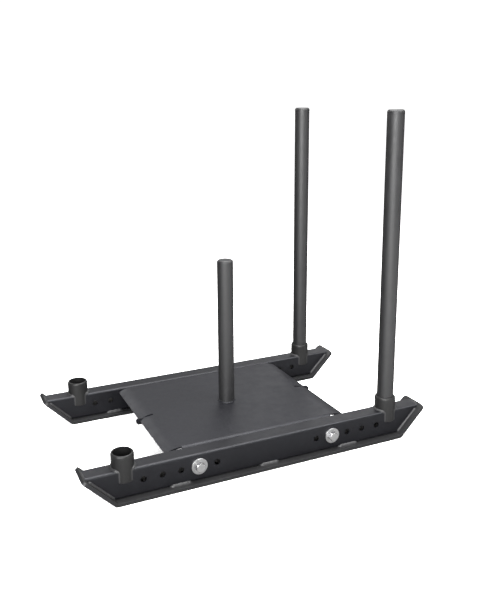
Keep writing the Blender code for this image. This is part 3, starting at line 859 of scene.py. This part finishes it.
class Shading:
    """A new material with its Principled shader, and short ways to add nodes to it."""

    def __init__(self, name):
        self.material = bpy.data.materials.new(name)
        self.material.use_nodes = True
        self.tree = self.material.node_tree
        self.shader = self.tree.nodes["Principled BSDF"]
        self.place = self.node("ShaderNodeTexCoord").outputs["Object"]

    def node(self, kind, links=None, **values):
        return add_node(self.tree, kind, links, **values)

    def ramp(self, source, low, high, to_low=0.0, to_high=1.0):
        return map_range(self.tree, source, low, high, to_low, to_high)

    def noise(self, scale, detail=3.0, roughness=0.5, stretch=None):
        place = self.place
        if stretch:
            place = self.node("ShaderNodeMapping", {"Vector": place}, Scale=stretch).outputs["Vector"]
        return self.node("ShaderNodeTexNoise", {"Vector": place}, Scale=scale, Detail=detail,
                         Roughness=roughness).outputs["Fac"]

    def times(self, first, second):
        """Multiplies a socket by a number or by another socket."""
        node = self.node("ShaderNodeMath", {0: first}, operation="MULTIPLY")
        if isinstance(second, float):
            node.inputs[1].default_value = second
        else:
            self.tree.links.new(second, node.inputs[1])
        return node.outputs[0]

    def mix(self, share, first, second):
        """Blends two colours; each is a tuple or a socket."""
        node = self.node("ShaderNodeMix", {"Factor": share}, data_type="RGBA")
        colours = [socket for socket in node.inputs if socket.type == "RGBA"]
        for socket, value in zip(colours, (first, second)):
            if isinstance(value, tuple):
                socket.default_value = (*value, 1.0)
            else:
                self.tree.links.new(value, socket)
        return [socket for socket in node.outputs if socket.type == "RGBA"][0]

    def bump(self, height, distance, strength, below=None):
        links = {"Height": height}
        if below:
            links["Normal"] = below
        return self.node("ShaderNodeBump", links, Distance=distance, Strength=strength).outputs["Normal"]

    def use(self, colour, roughness, normal):
        for key, source in (("Base Color", colour), ("Roughness", roughness), ("Normal", normal)):
            self.tree.links.new(source, self.shader.inputs[key])
        return self.material


# Materials

def scaled(colour, factor):
    return tuple(c * factor for c in colour)


def powder_coat(name, colour, roughness, specular, grain=1.0, worn=0.0, rubbed=False, tint=WHITE):
    """Fine-textured powder coat. worn shows thin coating and bright nicks; rubbed adds the drag
    marks of a ski's underside."""
    s = Shading(name)
    s.shader.inputs["Specular IOR Level"].default_value = specular
    s.shader.inputs["Specular Tint"].default_value = (*tint, 1.0)
    cloud = s.ramp(s.noise(CLOUD_SCALE, 4.0, 0.55), 0.35, 0.65)
    speck = s.ramp(s.noise(SPECK_SCALE, 2.0), 0.42, 0.62)
    tone = s.mix(cloud, scaled(colour, 0.90), scaled(colour, 1.12))
    tone = s.mix(s.times(speck, 0.30), tone, scaled(colour, 1.55))
    smear = s.ramp(s.noise(SMEAR_SCALE, 5.0, 0.65), 0.40, 0.75)
    rough = s.ramp(smear, 0.0, 1.0, roughness - 0.05, roughness + 0.08)
    if worn:
        chips = s.times(s.ramp(s.noise(CHIP_SCALE, 6.0, 0.7), 0.60, 0.70), worn)
        thin = s.ramp(s.noise(THIN_SCALE), 0.3, 0.7, 0.15 * worn, 0.6 * worn)
        tone = s.mix(thin, tone, scaled(colour, 1.9))
        tone = s.mix(chips, tone, CHIP_COLOUR)
    if rubbed:
        normal = s.node("ShaderNodeTexCoord").outputs["Normal"]
        upward = s.node("ShaderNodeSeparateXYZ", {"Vector": normal}).outputs["Z"]
        under = s.ramp(upward, -0.65, -0.95)
        streaks = s.ramp(s.noise(STREAK_SCALE, 5.0, 0.7, STREAK_STRETCH), 0.50, 0.68)
        tone = s.mix(s.times(streaks, under), tone, DRAG_COLOUR)
    texture = s.bump(s.noise(GRAIN_SCALE, 3.0, 0.6), GRAIN_HEIGHT * grain, 0.6)
    texture = s.bump(s.noise(PEEL_SCALE, 2.0), PEEL_HEIGHT * grain, 0.5, texture)
    return s.use(tone, rough, texture)


def zinc_plate(name, colour, roughness):
    """Zinc: slightly cloudy plating with duller patches and soft dents."""
    s = Shading(name)
    s.shader.inputs["Metallic"].default_value = 1.0
    cloud = s.ramp(s.noise(ZINC_CLOUD_SCALE, 3.0), 0.35, 0.65)
    tone = s.mix(cloud, scaled(colour, 0.93), scaled(colour, 1.04))
    rough = s.ramp(s.noise(ZINC_DULL_SCALE, 2.0), 0.35, 0.70, roughness - 0.02, roughness + 0.03)
    dents = s.bump(s.noise(ZINC_DENT_SCALE, 2.0), ZINC_DENT_DEPTH, 0.2)
    return s.use(tone, rough, dents)


def build_materials():
    """The coats by name, each a list: the face, the worn edge, and what INNER_MATERIAL stands for."""
    coats = {}
    for name, (colour, roughness, specular, grain, wear, tint) in COATS.items():
        edge_colour, edge_roughness = scaled(colour, 1.15), roughness - 0.06
        coats[name] = [
            powder_coat(f"{name}_powder_coat", colour, roughness, specular, grain, rubbed=name == "ski",
                        tint=tint),
            powder_coat(f"{name}_coat_edge", edge_colour, edge_roughness, specular, grain, wear, tint=tint),
        ]
    sleeve_colour = COATS["sleeve"][0]
    # the bore's coat, at half the sleeve's colour, is painted shade inside the sleeve
    coats["sleeve"].append(powder_coat("sleeve_bore_painted_shade", scaled(sleeve_colour, 0.50), 0.55, 0.35, 0.8))
    coats["rail"].append(powder_coat("bare_tube_inside", BARE_STEEL, 0.62, 0.35))
    coats["weld"] = [powder_coat("weld_coat", WELD_COLOUR, 0.46, 0.70, 1.2)]
    coats["zinc"] = [zinc_plate(name, colour, roughness) for name, (colour, roughness) in ZINCS.items()]
    return coats


# Stage, light, camera

def build_stage():
    """A floor that runs out of sight, and that the camera sees as plain white. To other rays it is
    pale well before the sled, dark close to it and beyond as painted shade, and less dark between
    the rails as painted bounce light."""
    bm = bmesh.new()
    bmesh.ops.create_grid(bm, x_segments=1, y_segments=1, size=FLOOR_HALF_SIZE)
    floor = as_object(bm, "floor")
    floor.location.z = -FLOOR_DROP
    material = bpy.data.materials.new("pale_floor")
    tree = empty_tree(material)

    place = add_node(tree, "ShaderNodeTexCoord").outputs["Object"]
    distance = add_node(tree, "ShaderNodeVectorMath", {0: place}, operation="LENGTH").outputs["Value"]
    strength = map_range(tree, distance, *GLOW_DISTANCES, *GLOW_STRENGTHS)
    glow = add_node(tree, "ShaderNodeEmission", {"Strength": strength}).outputs[0]
    near, again = (add_node(tree, "ShaderNodeBsdfDiffuse", Color=FLOOR_COLOUR).outputs[0] for _ in range(2))
    lit = add_node(tree, "ShaderNodeAddShader", {0: near, 1: again}).outputs[0]
    seen = add_node(tree, "ShaderNodeAddShader", {0: lit, 1: glow}).outputs[0]

    # tones that light the sled: painted shade close to it, painted bounce light between the rails
    across = add_node(tree, "ShaderNodeSeparateXYZ", {0: place}).outputs["Y"]
    before = map_range(tree, across, *BEFORE_Y, *BEFORE_TONES)
    aside = add_node(tree, "ShaderNodeMath", {0: across}, operation="ABSOLUTE").outputs[0]
    between = map_range(tree, aside, *BETWEEN_Y, *BETWEEN_TONES)
    pale = add_node(tree, "ShaderNodeMath", {0: before, 1: between}, operation="MAXIMUM").outputs[0]
    bounce = add_node(tree, "ShaderNodeBsdfDiffuse", {"Color": pale}).outputs[0]

    camera_ray = add_node(tree, "ShaderNodeLightPath").outputs["Is Camera Ray"]
    surface = add_node(tree, "ShaderNodeMixShader", {0: camera_ray, 1: bounce, 2: seen}).outputs[0]
    add_node(tree, "ShaderNodeOutputMaterial", {"Surface": surface})
    floor.data.materials.append(material)


def build_world():
    """White to the camera. As light it is dim, and brighter high up beyond the sled."""
    world = bpy.data.worlds.new("studio")
    bpy.context.scene.world = world
    tree = empty_tree(world)
    place = add_node(tree, "ShaderNodeTexCoord").outputs["Generated"]
    towards = add_node(tree, "ShaderNodeVectorMath", {0: place}, operation="DOT_PRODUCT")
    towards.inputs[1].default_value = Vector(SKY_GLOW_AXIS).normalized()
    beyond = map_range(tree, towards.outputs["Value"], *SKY_GLOW_COSINES, 0.0, SKY_GLOW, kind="SMOOTHSTEP")
    total = add_node(tree, "ShaderNodeMath", {0: beyond}, operation="ADD")
    total.inputs[1].default_value = SKY_DIM
    light = add_node(tree, "ShaderNodeBackground", {"Strength": total.outputs[0]}, Color=(1, 1, 1, 1))
    sight = add_node(tree, "ShaderNodeBackground", Color=(1, 1, 1, 1), Strength=SKY_SEEN)
    camera_ray = add_node(tree, "ShaderNodeLightPath").outputs["Is Camera Ray"]
    sky = add_node(tree, "ShaderNodeMixShader", {0: camera_ray, 1: light.outputs[0], 2: sight.outputs[0]})
    add_node(tree, "ShaderNodeOutputWorld", {"Surface": sky.outputs[0]})


def soft_box(name, location, target, size, power):
    """A rectangular area light, turned to its target and not seen by the camera."""
    data = bpy.data.lights.new(name, "AREA")
    data.shape = "RECTANGLE"
    data.size, data.size_y = size
    data.energy = power
    light = bpy.data.objects.new(name, data)
    light.location = location
    direction = Vector(target) - Vector(location)
    light.rotation_euler = direction.to_track_quat("-Z", "Y").to_euler()
    light.visible_camera = False
    bpy.context.scene.collection.objects.link(light)


def build_camera():
    """The photograph's own view, solved from the sled's corners in it."""
    yaw, pitch, roll = CAMERA_YAW, CAMERA_PITCH, CAMERA_ROLL
    forward = Vector((-math.sin(yaw) * math.cos(pitch), math.cos(yaw) * math.cos(pitch), -math.sin(pitch)))
    right = forward.cross(Vector((0, 0, 1))).normalized()
    up = right.cross(forward)
    right, up = (math.cos(roll) * right + math.sin(roll) * up, math.cos(roll) * up - math.sin(roll) * right)
    matrix = Matrix((right, up, -forward)).transposed().to_4x4()
    matrix.translation = CAMERA_PLACE
    data = bpy.data.cameras.new("camera")
    data.lens = CAMERA_LENS
    data.sensor_width = CAMERA_SENSOR
    data.shift_x, data.shift_y = CAMERA_SHIFT
    data.clip_start = 0.01
    camera = bpy.data.objects.new("camera", data)
    camera.matrix_world = matrix
    bpy.context.scene.collection.objects.link(camera)
    bpy.context.scene.camera = camera


def build_sled():
    coats = build_materials()
    for side, side_name in SIDES:
        y = side * RAIL_Y
        build_ski(side_name, y, coats["ski"])
        build_rail(side_name, y, coats["rail"])
        build_rail_welds(side, side_name, coats["weld"])
        build_sleeve_welds(side, side_name, coats["weld"])
        for end, end_name in ENDS:
            build_sleeve(side_name, end_name, end * SLEEVE_X, y, coats["sleeve"])
            build_fasteners(end, end_name, side, side_name, coats["zinc"])
        foot = (SLEEVE_X, y, SLEEVE_BOTTOM)
        build_pole(f"{side_name}_push_pole", f"{side_name}_upright", POLE_LENGTH, foot, f"{side_name}_pole",
                   coats["pole"])
    build_pole("plate_post", "weight_post", POST_LENGTH, (0, 0, DECK_TOP + GAP), "chassis", coats["pole"])
    build_deck(coats["deck"])
    build_bar(coats["deck"])
    build_middle_welds(coats["deck"])


build_sled()
build_stage()
build_world()
for box in SOFT_BOXES:
    soft_box(*box)
build_camera()
bpy.context.scene.view_settings.view_transform = "Standard"
